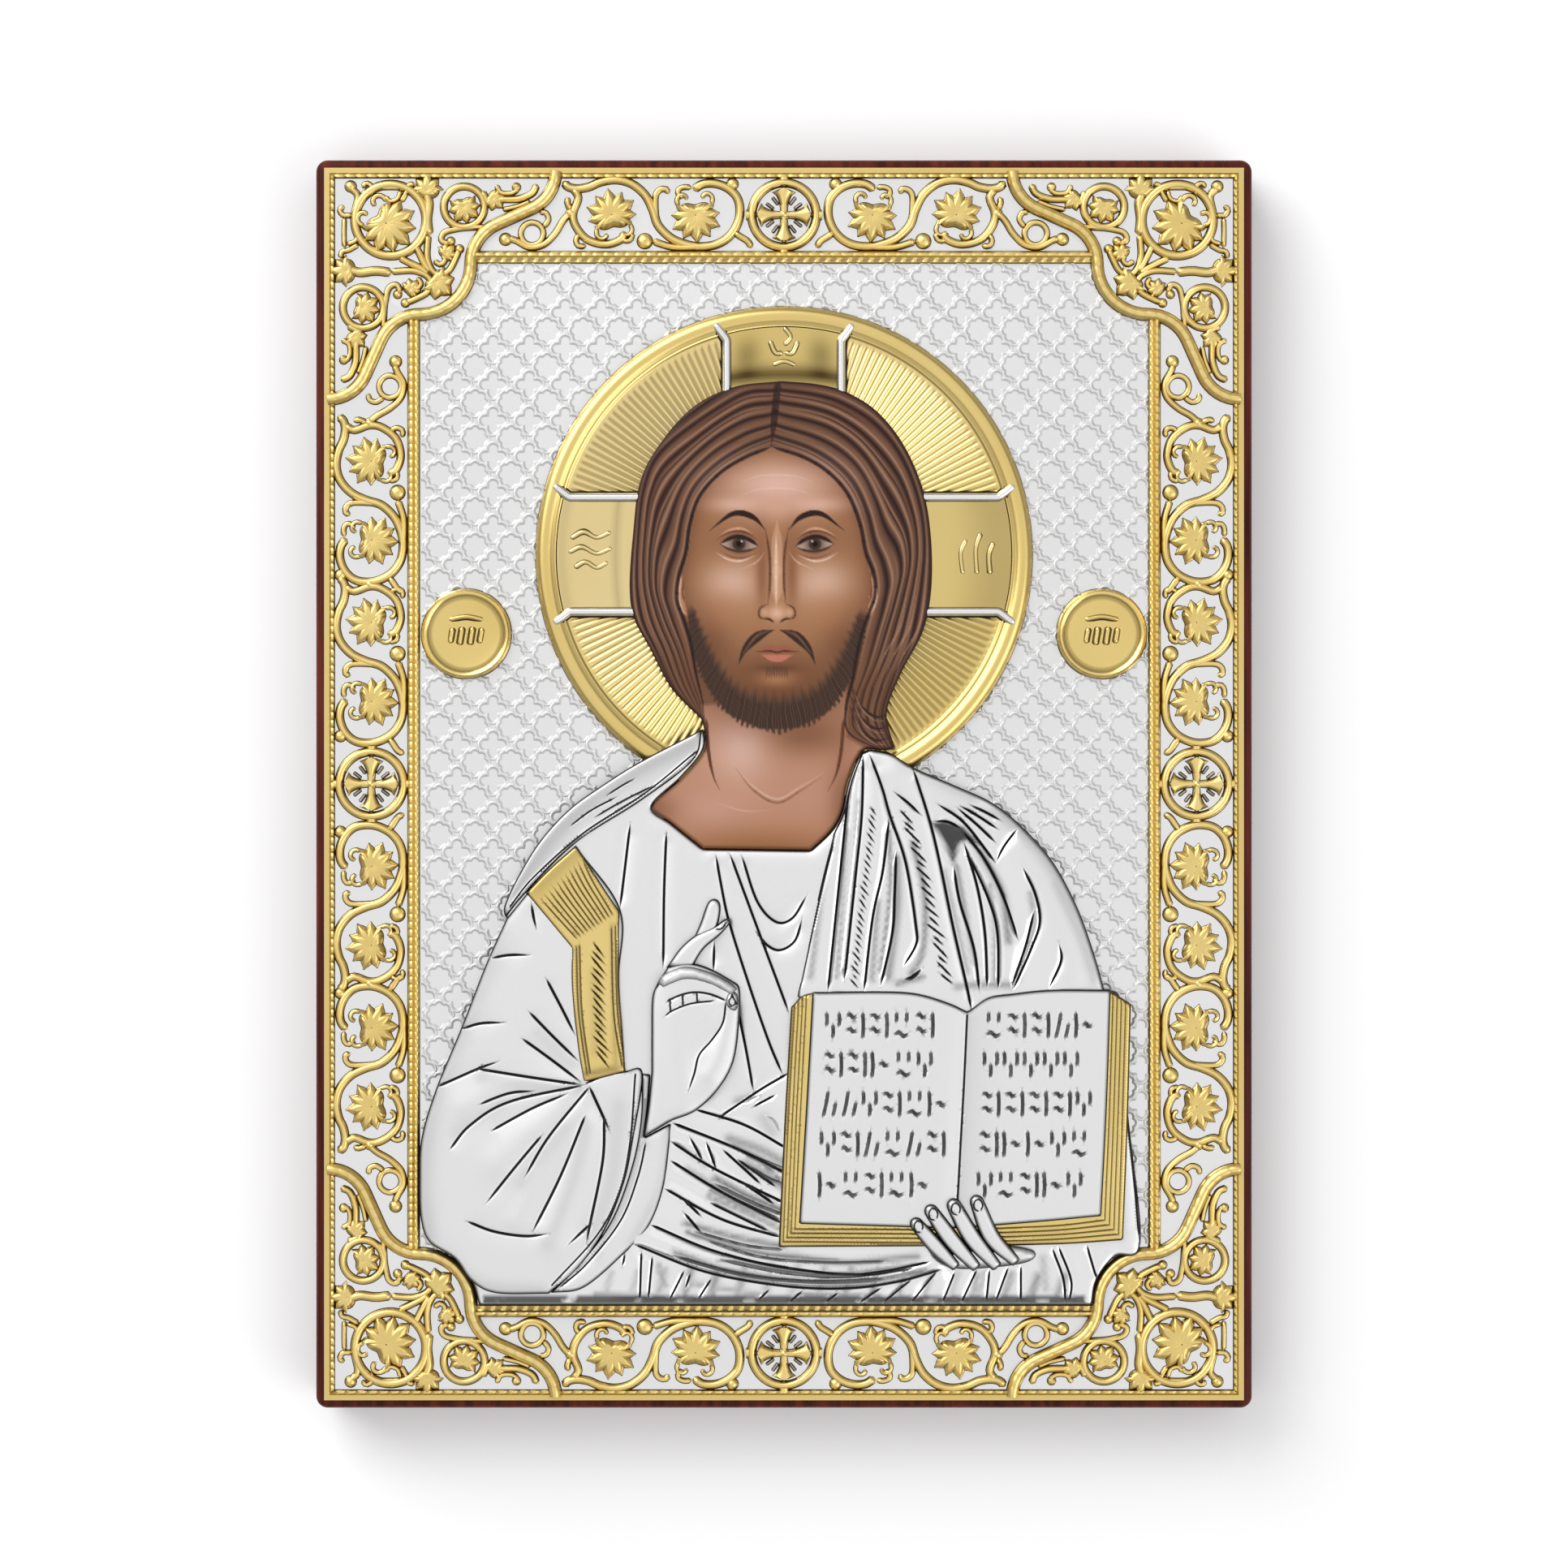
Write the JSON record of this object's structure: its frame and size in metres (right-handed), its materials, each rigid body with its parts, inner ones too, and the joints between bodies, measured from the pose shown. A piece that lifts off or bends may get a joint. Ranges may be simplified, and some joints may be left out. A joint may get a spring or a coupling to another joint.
{
  "type": "icon panel",
  "caption": "Small wall or shelf icon: a stained board faced with an embossed part-gilt silver sheet round a painted face plate.",
  "frame": {"origin": "middle of the board's plain back, on the surface that the panel lies on", "axes": "+Z out of the icon's face, +Y towards the icon's top, +X to the viewer's right"},
  "size_m": [0.12, 0.16, 0.0147],
  "materials": {
    "wood": "dark red-brown stain under satin lacquer",
    "silver": "satin and polished silver with gilt border, halo, band and book edges",
    "paint": "satin printed colours under clear varnish"
  },
  "bodies": {
    "root": {"wood_panel": "wood", "silver_cover": "silver", "painted_face": "paint"}
  },
  "joints": []
}
